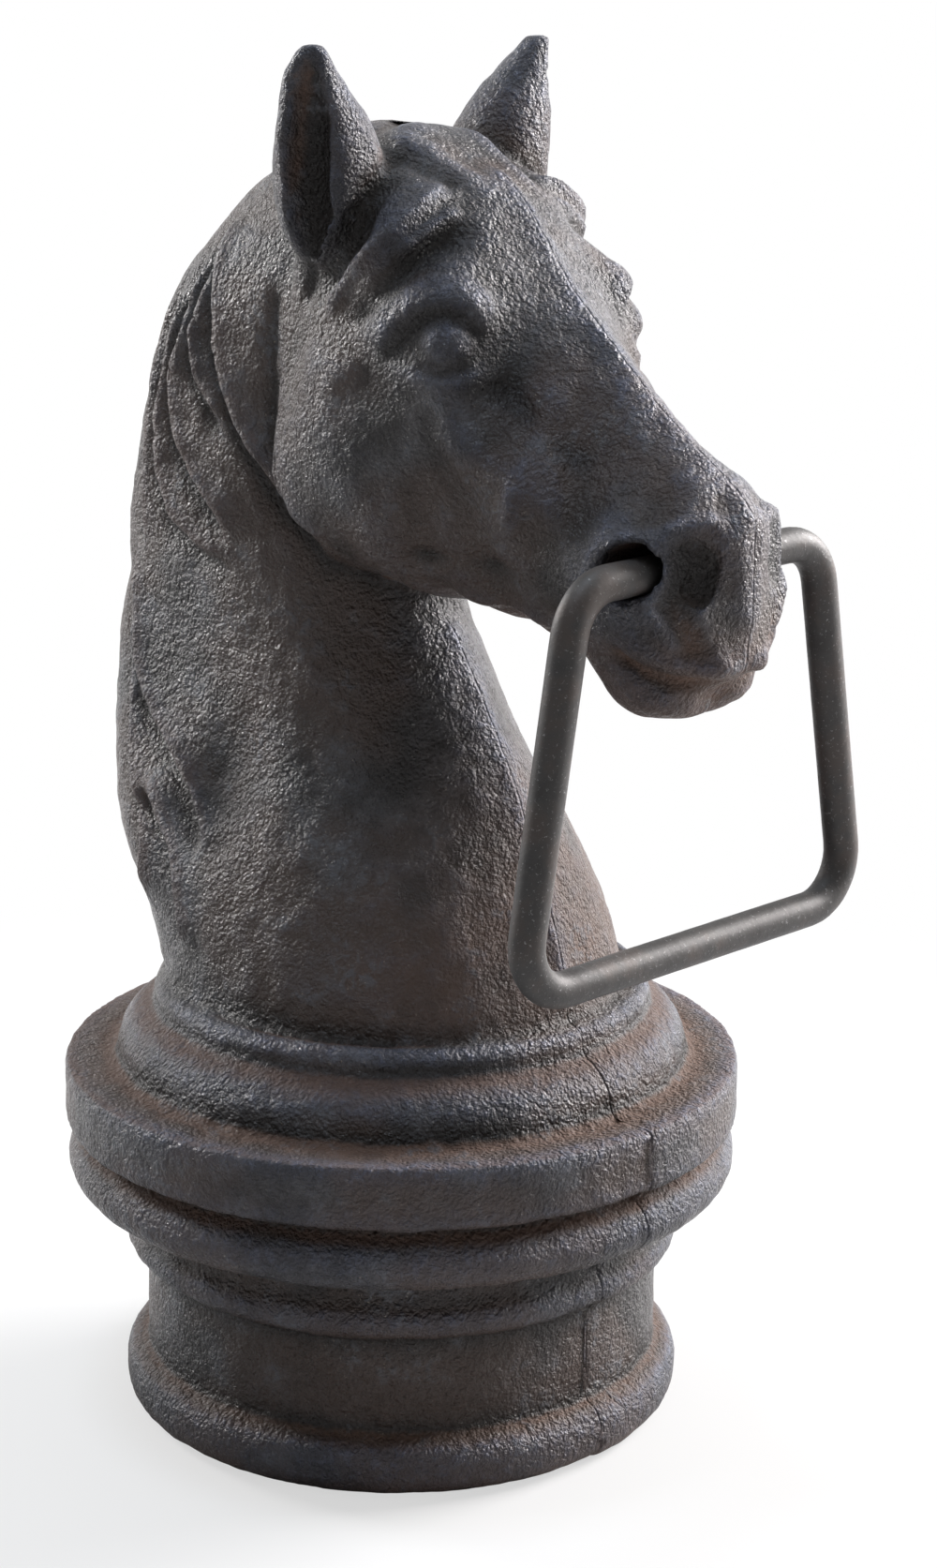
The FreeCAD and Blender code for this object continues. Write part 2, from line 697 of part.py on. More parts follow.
def fastener(label, sign):
    """Start a body for a fastener and place it on the front or rear lug."""
    body = doc.addObject("PartDesign::Body", label)
    bind(
        body,
        Placement__Base__x=f"{sign} * sizes.lug_distance",
        Placement__Base__z="sizes.lug_height",
    )
    pieces.append(body)
    return body


def level_sketch(body, name, formula):
    """Start a sketch across the bolt's axis at a formula's distance towards the right side."""
    sketch = sketch_on(body, name, "XZ_Plane")
    sketch.setExpression("AttachmentOffset.Base.z", formula)
    return sketch


SEAT = "(sizes.lug_half_length + sizes.washer_thickness)"
HOLE = "(sizes.bolt_diameter + sizes.thread_play) / 2"
bolt_radius = size("bolt_diameter") / 2
threaded_radius = bolt_radius + size("thread_play") / 2
for label, sign in (("front", 1), ("rear", -1)):
    bolt = fastener(f"{label}_tie_bolt", sign)
    bolt_head = level_sketch(bolt, f"{label}_bolt_head_outline", SEAT)
    hexagon(bolt_head)
    pad(bolt, f"{label}_bolt_head", bolt_head, "sizes.bolt_head_height")
    shank = level_sketch(bolt, f"{label}_shank_outline", SEAT)
    round_outline(shank, "shank_radius", bolt_radius, "sizes.bolt_diameter / 2")
    shank_length = f"2 * {SEAT} + sizes.nut_height + sizes.bolt_overrun"
    bolt.Tip = pad(bolt, f"{label}_shank", shank, shank_length, backwards=True)

    nut = fastener(f"{label}_tie_nut", sign)
    nut_outline = level_sketch(nut, f"{label}_nut_outline", f"-({SEAT} + sizes.nut_height)")
    hexagon(nut_outline)
    round_outline(nut_outline, "hole_radius", threaded_radius, HOLE)
    nut.Tip = pad(nut, f"{label}_nut_pad", nut_outline, "sizes.nut_height")

    for place, start in (("head", "sizes.lug_half_length"), ("nut", f"-{SEAT}")):
        washer = fastener(f"{label}_{place}_washer", sign)
        ring_outline = level_sketch(washer, f"{label}_{place}_washer_outline", start)
        round_outline(
            ring_outline, "outer_radius", size("washer_diameter") / 2, "sizes.washer_diameter / 2"
        )
        round_outline(ring_outline, "hole_radius", threaded_radius, HOLE)
        washer.Tip = pad(washer, f"{label}_{place}_washer_pad", ring_outline, "sizes.washer_thickness")

doc.recompute()

for item in doc.Objects:
    if "Invalid" in item.State or "Error" in item.State:
        raise RuntimeError(f"{item.Name} did not build: {item.State}")
for piece in pieces:
    if piece.Shape.isNull() or not piece.Shape.isValid() or len(piece.Shape.Solids) != 1:
        raise RuntimeError(f"{piece.Label} is not one valid solid")

os.makedirs("parts", exist_ok=True)
for piece in pieces:
    piece.Shape.exportStep(f"parts/{piece.Label}.step")
    print(f"{piece.Label}: {piece.Shape.Volume / 1000:.2f} cm3")
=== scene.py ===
"""Dresses the cast iron hitching post top: horse's head, socket base, swinging bail and bolts."""
import math

import bmesh
import bpy
import numpy as np
from bpy.props import FloatProperty, FloatVectorProperty, IntProperty, PointerProperty
from mathutils import Matrix, Vector, noise
from mathutils.bvhtree import BVHTree


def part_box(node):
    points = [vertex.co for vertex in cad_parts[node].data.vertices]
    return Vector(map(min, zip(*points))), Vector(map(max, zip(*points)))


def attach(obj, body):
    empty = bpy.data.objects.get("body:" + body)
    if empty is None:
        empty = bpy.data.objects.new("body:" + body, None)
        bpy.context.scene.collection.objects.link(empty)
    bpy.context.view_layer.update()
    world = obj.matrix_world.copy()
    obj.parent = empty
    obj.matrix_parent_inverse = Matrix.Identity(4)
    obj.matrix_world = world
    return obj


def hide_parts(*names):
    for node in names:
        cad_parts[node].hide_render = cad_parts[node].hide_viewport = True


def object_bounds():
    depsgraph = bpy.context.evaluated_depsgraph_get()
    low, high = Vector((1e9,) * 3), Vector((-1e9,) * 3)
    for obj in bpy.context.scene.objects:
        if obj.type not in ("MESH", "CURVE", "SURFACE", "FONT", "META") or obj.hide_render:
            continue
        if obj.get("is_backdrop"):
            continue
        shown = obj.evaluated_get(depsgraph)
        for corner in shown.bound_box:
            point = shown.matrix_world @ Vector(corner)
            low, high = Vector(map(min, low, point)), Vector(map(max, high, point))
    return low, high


bl_info = {
    "name": "Cast Iron Hitching Post Top",
    "version": (1, 0, 0),
    "blender": (4, 5, 0),
    "location": "View3D > Sidebar > Hitching Post",
    "description": "Carves and finishes a cast horse head post top with a swinging bail",
    "category": "Object",
}

MM = 0.001
# Places on the horse, in millimetres
BAR_X, BAR_Z = 100.8, 244.7
NECK_ROOT = 117
NAPE_HEIGHT = 317
EYE = (45, -33, 296)
NOSTRIL = (113, 15, 241)
FLANGE_EDGE = 84
TORUS = 108
# Wall behind the cheek that is thickened before meshing: its centre and half sizes
THIN_WALL = (-10, 26.4, 262)
THIN_WALL_REACH = (6.5, 3.5, 18)
# How a fold steps: softness of its edge and depth of its low side
FOLD_EDGE = 1.3
FOLD_LOW = 1.6
DEEPEST_CUT = 3.4

# Forms are carved on the right side, in millimetres, and mirrored to the left.
# A fold steps up on one side of its line and falls back on the other, as a lock of hair
# lies over the next. Each has a height, a reach on the high side, a reach on the low side
# and its line. For someone who walks along the line on the outer skin, the high side is on
# the left hand for a height above 0 and on the right hand for one below 0.
FOLDS = (
    # locks of the mane, from the cheek backwards
    (3.8, 9, 4, (
        (-38, -19, 319), (-41, -21, 313), (-40, -25, 306), (-40, -27, 299), (-38, -29, 291),
        (-37, -31, 283), (-34, -31, 274), (-29, -31, 264), (-23, -30, 256), (-14, -28, 246),
        (-4, -28, 239),
    )),
    (3.0, 3.5, 3, (
        (-42, -18, 316), (-44, -21, 310), (-46, -25, 301), (-48, -27, 292), (-50, -28, 286),
        (-49, -29, 280), (-47, -30, 274), (-42, -31, 269), (-37, -31, 264), (-33, -31, 259),
    )),
    (3.4, 4.5, 3.5, (
        (-50, -20, 308), (-54, -26, 291), (-59, -27, 273), (-56, -29, 260), (-48, -31, 249),
        (-38, -31, 240), (-31, -31, 232),
    )),
    (3.2, 4, 3.5, (
        (-58, -20, 300), (-64, -25, 281), (-67, -27, 262), (-64, -28, 247), (-57, -30, 236),
        (-45, -31, 230), (-28, -31, 227),
    )),
    (2.8, 4.5, 4, (
        (-64, -16, 298), (-73, -21, 275), (-74, -24, 255), (-72, -26, 238), (-70, -28, 222),
    )),
    # long locks that lie down the back of the neck
    (4.6, 8, 5, (
        (-77, -25, 230), (-75, -26, 218), (-72, -28, 209), (-69, -31, 197), (-63, -34, 189),
        (-55, -37, 182), (-45, -40, 176), (-37, -43, 170), (-31, -46, 165), (-26, -48, 159),
        (-22, -50, 152),
    )),
    (4.0, 6, 4, (
        (-82, -22, 210), (-76, -29, 195), (-72, -32, 185), (-68, -36, 177), (-63, -40, 168),
        (-56, -44, 160), (-51, -47, 151), (-50, -47, 141), (-48, -48, 132),
    )),
    (3.2, 8, 6, (
        (-56, -42, 168), (-45, -46, 160), (-36, -50, 153), (-31, -52, 145), (-27, -54, 136),
        (-26, -54, 128),
    )),
    # upper lid's edge, from the back corner of the eye over the top to the front corner
    (1.4, 6, 2.6, (
        (29, -37, 287), (33, -37, 291.7), (36, -36, 295.3), (40, -35.5, 298.8),
        (44.6, -34.5, 301.1), (48.5, -32, 301.7), (51.4, -29.6, 300.4), (53, -27, 298),
        (56, -25, 293),
    )),
    # back edge of the cheek and jaw
    (1.6, 12, 4, (
        (-13, -28, 306), (-13, -29, 290), (-14, -29, 270), (-14, -29, 254), (-9, -29, 246),
        (0, -29, 240), (12, -24, 233),
    )),
)
# Ridges stand up and grooves go down: height, half width and line
RIDGES = (
    # folds of skin above the temple, with the valleys on both sides
    (2.8, 2.3, (
        (28, -12, 330), (30, -17, 327), (31, -25, 323), (29, -32, 317), (24, -35, 312),
        (17, -34, 306), (12, -33, 300), (8, -35, 292),
    )),
    (-2.6, 3.6, (
        (41, -15, 319), (38, -23, 315), (35, -29, 312), (32, -35, 307), (26, -37, 301),
        (15, -36, 293),
    )),
    (1.6, 1.6, ((37, -16, 323), (35, -23, 319), (33, -29, 315.5), (31, -34, 311))),
    # lower lid
    (1.0, 1.9, ((35, -37, 286), (42, -37, 284), (48, -35, 283), (53, -31, 284.5), (57, -26, 288))),
    # tear trough and the long hollow beside the face
    (-1.6, 4.0, ((56, -25, 288), (63, -22, 279), (72, -19, 269), (82, -16, 261))),
    # cheek ridge and the small raised spot at its end
    (1.6, 6.0, ((44, -35, 274), (58, -31, 267), (72, -28, 259), (86, -27, 252))),
    (1.8, 2.2, ((67, -29, 261), (67, -29.5, 255), (65, -30, 250))),
    # rims of the nostril
    (2.2, 2.4, (
        (101, -27, 246), (104, -25, 250), (108, -19, 254), (112, -11, 255.5), (115, -5, 254),
    )),
    (2.2, 2.4, (
        (101, -27, 247), (102, -26, 241), (105, -23, 235), (108, -19, 229), (110, -15, 224),
    )),
    # lips and the corner of the mouth
    (-2.6, 2.0, (
        (95, -27, 227), (99, -25, 222.5), (104, -20, 219), (108, -15, 217), (111, -9, 216),
        (112, -2, 216),
    )),
    (1.5, 2.8, (
        (98, -26, 229.5), (103, -22, 225.5), (108, -17, 222.5), (112, -9, 221), (114, -1, 220.5),
    )),
    (1.0, 3.0, ((94, -23, 218), (99, -20, 213), (104, -16, 210.5), (107, -9, 210), (108, -1, 210))),
    # valleys below the ear and along its front, and the ear's inner rim
    (-1.0, 2.0, ((4, -36, 309), (1, -34, 303), (-2, -33, 296))),
    (-2.2, 3.4, (
        (17, -26, 335), (18, -29, 327), (17, -32, 320), (15, -34, 315), (10, -35, 308),
        (4, -34, 302),
    )),
    (0.9, 3.0, ((2, -30, 287), (14, -32, 283), (26, -35, 283))),
    # forelock and crown between the ears
    (1.2, 3.5, ((6, -12, 338), (18, -11, 336), (30, -9, 329), (38, -7, 322))),
    (-1.4, 2.6, ((14, -19, 336), (24, -16, 331), (33, -13, 325))),
    # jaw
    (1.4, 3.0, ((20, -21, 228), (38, -22, 228), (56, -21, 228), (72, -22, 227), (86, -23, 221))),
    (-1.5, 3.5, ((24, -30, 239), (42, -29, 238), (60, -27, 238), (78, -26, 236))),
)
# Swells and dents: height, centre, reach along X, Y and Z, and how sharp the rim is (1 is soft)
SWELLS = (
    (2.6, (8, -31, 262), (22, 14, 26), 1),
    (-1.2, (24, -38, 282), (8, 9, 9), 1),
    (0.8, (44, -27, 309), (10, 8, 5), 1),
    (2.7, (48, -33, 292.5), (5.6, 6, 4.8), 1.7),
    (-3.4, (-25, -42, 172), (11, 14, 17), 1),
    (1.6, (-8, -40, 205), (22, 14, 20), 1),
    (-2.0, (30, -24, 190), (12, 14, 22), 1),
    (1.6, (100, -14, 262), (14, 12, 8), 1),
    (-3.0, (111, -15, 245), (7, 9, 9), 1.6),
    (-1.2, (114, -14, 231), (7, 7, 8), 1),
    (-2.2, (115, -11, 236), (6, 7, 15), 1),
    (-3.0, (111, 0, 211), (7, 16, 6), 1),
    (-1.5, (-3, -26, 240), (12, 8, 8), 1),
    (-1.4, (12, 0, 341), (12, 16, 8), 1),
    (1.2, (-8, 0, 341), (10, 12, 8), 1),
)
# Line through the middle of the horse, for telling its outside from its hollow
SPINE = (
    (0, 0, 60), (0, 0, 118), (-22, 0, 170), (-42, 0, 225), (-30, 0, 280), (16, 0, 288),
    (55, 0, 264), (106, 0, 238),
)
# Seam edge that shows down the face, nose and neck: height, reach and line
KEEL = (
    (2.8, 6, (
        (24, 0, 335), (48, 0, 314), (80, 0, 282), (112, 0, 257), (116, 0, 246), (116, 0, 224),
    )),
    (2.4, 6, ((15, 0, 218), (27, 0, 196), (40, 0, 174), (53, 0, 144), (61, 0, 118))),
)


class CastingSettings(bpy.types.PropertyGroup):
    """Sizes of the carving and of the cast skin."""

    cell: FloatProperty(
        name="Mesh cell",
        description="Edge of one cell of the carved mesh",
        default=0.0015, unit="LENGTH",
    )
    carving: FloatProperty(
        name="Carving depth",
        description="Factor on the height of all carved forms",
        default=1.0, subtype="FACTOR",
    )
    lumps: FloatProperty(
        name="Lumps",
        description="Height of the uneven lumps of the cast skin",
        default=0.00034, unit="LENGTH",
    )
    seam_depth: FloatProperty(
        name="Seam depth",
        description="Depth of the line between the two halves",
        default=0.0002, unit="LENGTH",
    )
    seam_step: FloatProperty(
        name="Seam step",
        description="How far the right half lies behind the left at the base",
        default=0.0005, unit="LENGTH",
    )
    skin_relaxing: IntProperty(
        name="Relaxing",
        description="Rounds of smoothing that soften the joins of the horse's forms",
        default=12,
    )
    iron: FloatVectorProperty(
        name="Iron",
        description="Colour of the bare cast skin",
        default=(0.019, 0.0168, 0.017), subtype="COLOR",
    )
    rust: FloatVectorProperty(
        name="Rust",
        description="Colour of the rust dust in the hollows",
        default=(0.1, 0.06, 0.044), subtype="COLOR",
    )


class BailSettings(bpy.types.PropertyGroup):
    """Finish of the bail."""

    unevenness: FloatProperty(
        name="Unevenness",
        description="How far the forged bar is from round",
        default=0.00012, unit="LENGTH",
    )
    steel: FloatVectorProperty(
        name="Steel",
        description="Colour of the dark bar",
        default=(0.032, 0.029, 0.028), subtype="COLOR",
    )


class StageSettings(bpy.types.PropertyGroup):
    """Camera and light."""

    focal_length: FloatProperty(
        name="Focal length", description="Focal length on a 36 mm tall sensor", default=76.3
    )
    key_power: FloatProperty(
        name="Key light", description="Power of the strongest light", default=66.0, subtype="POWER"
    )
    sky: FloatProperty(
        name="Sky", description="Brightness of the white cloth behind and above", default=1.0
    )


class Sock:
    """A shader socket that takes part in arithmetic and leaves Math nodes behind."""

    def __init__(self, tree, socket):
        self.tree = tree
        self.socket = socket

    def math(self, operation, *others, swap=False):
        """Join this value with others through one Math node."""
        values = (self, *others)
        if swap:
            values = (*others, self)
        return self.tree.node("ShaderNodeMath", {"operation": operation}, dict(enumerate(values)))

    def __add__(self, other):
        return self.math("ADD", other)

    __radd__ = __add__

    def __mul__(self, other):
        return self.math("MULTIPLY", other)

    __rmul__ = __mul__

    def __sub__(self, other):
        return self.math("SUBTRACT", other)

    def __rsub__(self, other):
        return self.math("SUBTRACT", other, swap=True)

    def between(self, low, high):
        """Return 0 at low and 1 at high, smoothly."""
        return self.tree.node(
            "ShaderNodeMapRange",
            {"interpolation_type": "SMOOTHSTEP"},
            {"Value": self, "From Min": low, "From Max": high},
            "Result",
        )


class Material:
    """One node material with a Principled shader."""

    def __init__(self, name):
        self.data = bpy.data.materials.new(name)
        self.data.use_nodes = True
        self.nodes = self.data.node_tree.nodes
        self.links = self.data.node_tree.links
        self.shader = self.nodes["Principled BSDF"]

    def plug(self, socket, value):
        """Set a socket, or link it."""
        if isinstance(value, Sock):
            self.links.new(value.socket, socket)
        else:
            socket.default_value = value

    def node(self, kind, settings=None, inputs=None, output=0):
        """Add one node: its settings first, then its inputs. Returns one of its outputs."""
        node = self.nodes.new(kind)
        for key, value in (settings or {}).items():
            setattr(node, key, value)
        for key, value in (inputs or {}).items():
            self.plug(node.inputs[key], value)
        return Sock(self, node.outputs[output])

    def mix(self, factor, first, second):
        """Mix two colours."""
        node = self.nodes.new("ShaderNodeMix")
        node.data_type = "RGBA"
        colours = [s for s in node.inputs if s.type == "RGBA"]
        self.plug(node.inputs["Factor"], factor)
        self.plug(colours[0], first)
        self.plug(colours[1], second)
        return Sock(self, next(s for s in node.outputs if s.type == "RGBA"))

    def place(self):
        """Return the object's own coordinates in millimetres."""
        coordinates = self.node("ShaderNodeTexCoord", output="Object")
        return self.node(
            "ShaderNodeVectorMath", {"operation": "SCALE"}, {0: coordinates, "Scale": 1 / MM}
        )

    def noise(self, place, size, detail=2.0, roughness=0.5, distortion=0.0):
        """Return noise whose lumps are about size millimetres."""
        return self.node(
            "ShaderNodeTexNoise",
            None,
            {
                "Vector": place,
                "Scale": 1 / size,
                "Detail": detail,
                "Roughness": roughness,
                "Distortion": distortion,
            },
            "Fac",
        )

    def attribute(self, name):
        """Return a value that is stored on the mesh's vertices."""
        return self.node("ShaderNodeAttribute", {"attribute_name": name}, None, "Fac")

    def finish(self, colour, roughness, metallic, normal):
        """Join the results to the shader."""
        self.plug(self.shader.inputs["Base Color"], colour)
        self.plug(self.shader.inputs["Roughness"], roughness)
        self.plug(self.shader.inputs["Metallic"], metallic)
        self.plug(self.shader.inputs["Normal"], normal)
        return self.data


def opaque(colour):
    """Give a colour full alpha."""
    return (*colour, 1.0)


def grey(level):
    """Return a neutral colour."""
    return (level, level, level, 1.0)


def iron_material(settings):
    """Black sand-cast iron: pitted grain, rust dust and painted shade in the hollows, pale rubbed
    crests and a painted bluish sheen on upward-facing surfaces.
    """
    look = Material("rusty_cast_iron")
    place = look.place()
    grain = 1.0 - look.node(
        "ShaderNodeTexVoronoi", None, {"Vector": place, "Scale": 0.8}, "Distance"
    )
    grit = look.noise(place, 0.7, 2.0, 0.6)
    pits = look.noise(place, 2.8, 3.0, 0.6, 0.4)
    blotches = look.noise(place, 14.0, 4.0, 0.62)
    drift = look.noise(place, 42.0, 2.0, 0.5)
    speck = look.noise(place, 0.9, 2.0, 0.7)
    cavity = look.attribute("cavity")
    dust = look.attribute("dust")
    wear_and_sheen = look.attribute("wear_and_sheen")

    skin = look.mix(blotches.between(0.4, 0.64), opaque(settings.iron), (0.053, 0.05, 0.053, 1.0))
    brown = look.mix(drift.between(0.42, 0.58) * 0.7, skin, (0.058, 0.038, 0.03, 1.0))
    # Painted shade: the hollows marked by cavity are darkened nearly to black, standing in for the
    # shade that falls into them.
    painted_hollow_shade = look.mix(cavity * 0.9, brown, (0.0065, 0.005, 0.0045, 1.0))
    hollows = (cavity * 0.35 + dust) * (0.35 + blotches * 1.1)
    rusty = look.mix(hollows.between(0.25, 1.0) * 0.9, painted_hollow_shade, opaque(settings.rust))
    crests = (grit * 0.5 + pits).between(0.7, 0.95)
    # Pale bluish colour: rubbed wear on the crests, and a painted bluish sheen, the reflection of the
    # sky, on upward-facing surfaces of the face.
    rubbed = (crests * 0.6 + 0.4) * wear_and_sheen
    pale = look.mix(rubbed * 0.75, rusty, (0.09, 0.1, 0.14, 1.0))
    bloom = blotches.between(0.52, 0.66) * pits.between(0.45, 0.6)
    pale = look.mix(bloom * 0.55, pale, (0.09, 0.095, 0.108, 1.0))
    crumbs = speck.between(0.66, 0.74) * blotches.between(0.45, 0.62)
    chalk = look.mix(crumbs * 0.6, pale, (0.34, 0.3, 0.25, 1.0))

    height = grain * 0.22 + grit * 0.35 + pits * 0.6
    bump = look.node(
        "ShaderNodeBump", None, {"Strength": 1.0, "Distance": 2.0 * MM, "Height": height}, "Normal"
    )
    roughness = 0.44 - speck.between(0.45, 0.62) * 0.2 + hollows.between(0.2, 1.0) * 0.36
    look.shader.inputs["Specular IOR Level"].default_value = 0.32
    return look.finish(chalk, roughness, rubbed * 0.25, bump)


def steel_material(name, colour, rub, rust):
    """Worn steel: dark smooth skin with fine bright rubs and a brown bloom."""
    look = Material(name)
    place = look.place()
    specks = look.noise(place, 0.8, 3.0, 0.7)
    patches = look.noise(place, 14.0, 3.0, 0.6)
    grain = look.noise(place, 1.6, 4.0, 0.6)
    base = look.mix(patches.between(0.35, 0.65), opaque(colour), grey(colour[0] * 1.5))
    bloom = look.mix(patches.between(0.46, 0.64) * rust, base, (0.058, 0.037, 0.028, 1.0))
    rubbed = specks.between(0.6, 0.72) * rub
    bright = look.mix(rubbed, bloom, grey(0.3))
    bump = look.node(
        "ShaderNodeBump", None, {"Strength": 0.5, "Distance": 0.25 * MM, "Height": grain}, "Normal"
    )
    return look.finish(bright, 0.5 - rubbed * 0.15 + grain * 0.1, 0.35 + rubbed * 0.3, bump)


def floor_material(name, level):
    """Matt white floor that keeps a soft shadow and meets the white backdrop without a line."""
    look = Material(name)
    tone = look.noise(look.place(), 60.0, 3.0, 0.5)
    look.plug(look.shader.inputs["Base Color"], look.mix(tone, grey(level), grey(level * 0.98)))
    look.shader.inputs["Roughness"].default_value = 0.9
    glow = look.node("ShaderNodeEmission", None, {"Color": grey(1.0), "Strength": 1.0}, "Emission")
    seen = look.node("ShaderNodeLightPath", None, None, "Is Camera Ray")
    distance = look.node("ShaderNodeVectorMath", {"operation": "LENGTH"}, {0: look.place()}, "Value")
    share = seen * (0.62 + distance.between(150.0, 450.0) * 0.38)
    matt = Sock(look, look.shader.outputs["BSDF"])
    blend = look.node("ShaderNodeMixShader", None, {0: share, 1: matt, 2: glow}, "Shader")
    look.links.new(blend.socket, look.nodes["Material Output"].inputs["Surface"])
    return look.data


def mesh_arrays(mesh):
    """Return vertex places in millimetres, vertex normals and edges."""
    count = len(mesh.vertices)
    places = np.empty(count * 3, np.float32)
    mesh.vertices.foreach_get("co", places)
    normals = np.empty(count * 3, np.float32)
    mesh.vertex_normals.foreach_get("vector", normals)
    edges = np.empty(len(mesh.edges) * 2, np.int32)
    mesh.edges.foreach_get("vertices", edges)
    places = places.reshape(-1, 3).astype(float) / MM
    return places, normals.reshape(-1, 3).astype(float), edges.reshape(-1, 2)


def neighbour_mean(values, edges, degree):
    """Average each vertex's neighbours."""
    total = np.empty_like(values)
    for axis in range(values.shape[1]):
        column = values[:, axis]
        total[:, axis] = np.bincount(edges[:, 0], column[edges[:, 1]], len(values))
        total[:, axis] += np.bincount(edges[:, 1], column[edges[:, 0]], len(values))
    return total / degree[:, None]


def along_line(places, normals, line):
    """For each place: distance to a line along the skin, share of the way along it, and side."""
    line = np.array(line, float)
    lengths = np.linalg.norm(np.diff(line, axis=0), axis=1)
    starts = np.concatenate(([0.0], np.cumsum(lengths)))
    best = np.full(len(places), np.inf)
    share = np.zeros(len(places))
    offset = np.zeros(len(places))
    for index, length in enumerate(lengths):
        start = line[index]
        direction = (line[index + 1] - start) / length
        reach = np.clip((places - start) @ direction, 0, length)
        away = places - start - reach[:, None] * direction
        lift = np.einsum("ij,ij->i", away, normals)
        away = away - lift[:, None] * normals
        distance = np.hypot(np.linalg.norm(away, axis=1), np.maximum(np.abs(lift) - 2.5, 0))
        nearer = distance < best
        best = np.where(nearer, distance, best)
        share = np.where(nearer, (starts[index] + reach) / starts[-1], share)
        sideways = np.einsum("ij,ij->i", away, np.cross(normals, direction))
        offset = np.where(nearer, sideways, offset)
    return best, share, offset


def fade_ends(share, length=0.16):
    """Fade a stroke in and out at its ends."""
    near = np.clip(np.minimum(share, 1 - share) / length, 0, 1)
    return near * near * (3 - 2 * near)


def from_bar(places):
    """Return each place's distance from the middle of the bail's bar."""
    return np.hypot(places[:, 0] - BAR_X, places[:, 2] - BAR_Z)


def carve(places, normals, settings):
    """Return how far each vertex of the horse moves out along its normal, in millimetres."""
    mirrored = places * (1, -1, 1)
    right = places[:, 1] <= 0
    folded = np.where(right[:, None], places, mirrored)
    facing = np.where(right[:, None], normals, normals * (1, -1, 1))
    moved = np.zeros(len(places))

    def nearby(line, margin):
        low = np.min(line, axis=0) - margin
        high = np.max(line, axis=0) + margin
        return np.flatnonzero(np.all((folded > low) & (folded < high), axis=1))

    for height, high_reach, low_reach, line in FOLDS:
        chosen = nearby(line, 26)
        distance, share, side = along_line(folded[chosen], facing[chosen], line)
        amount = 1 - np.exp(-((distance / FOLD_EDGE) ** 2))
        side = side * np.sign(height)
        reach = np.where(side > 0, high_reach, low_reach)
        level = np.where(side > 0, 1.0, -FOLD_LOW) * amount * np.exp(-distance / reach)
        moved[chosen] += abs(height) * level * fade_ends(share)
    for height, width, line in RIDGES:
        chosen = nearby(line, 3 * width)
        distance, share, _ = along_line(folded[chosen], facing[chosen], line)
        moved[chosen] += height * np.exp(-((distance / width) ** 2)) * fade_ends(share, 0.22)
    for height, centre, reach, sharpness in SWELLS:
        squares = np.sum(((folded - centre) / reach) ** 2, axis=1)
        moved += height * np.exp(-(squares**sharpness))
    moved = np.where(moved < 0, DEEPEST_CUT * np.tanh(moved / DEEPEST_CUT), moved)
    return moved * settings.carving * np.clip((from_bar(places) - 7) / 4, 0, 1)


def spare_wall(mesh, places, normals, moved):
    """Keep cuts from reaching deeper than two fifths of the wall behind them."""
    tree = BVHTree.FromPolygons(places.tolist(), [tuple(face.vertices) for face in mesh.polygons])
    for index in np.flatnonzero(moved < -0.8):
        inward = Vector(-normals[index])
        depth = tree.ray_cast(Vector(places[index]) + inward * 0.5, inward, 20.0)[3]
        if depth is not None:
            moved[index] = max(moved[index], -0.4 * (depth + 0.5))
    return moved


def outside_weight(places, normals):
    """Return 1 on the outer skin and 0 in the hollow."""
    spine = np.array(SPINE, float)
    best = np.full(len(places), np.inf)
    nearest = np.zeros_like(places)
    for start, end in zip(spine[:-1], spine[1:]):
        direction = end - start
        reach = np.clip((places - start) @ direction / (direction @ direction), 0, 1)
        point = start + reach[:, None] * direction
        distance = np.linalg.norm(places - point, axis=1)
        nearer = distance < best
        best = np.where(nearer, distance, best)
        nearest = np.where(nearer[:, None], point, nearest)
    outward = np.einsum("ij,ij->i", places - nearest, normals) / np.maximum(best, 1e-6)
    return np.clip((outward + 0.05) / 0.25, 0, 1)


def smooth_noise(places, size, seed):
    """Return lumpy noise of a lump size in millimetres at each place."""
    shift = Vector((seed * 7.3, seed * 3.1, seed * 5.7))
    return np.array([noise.noise(Vector(place) / size + shift) for place in places])


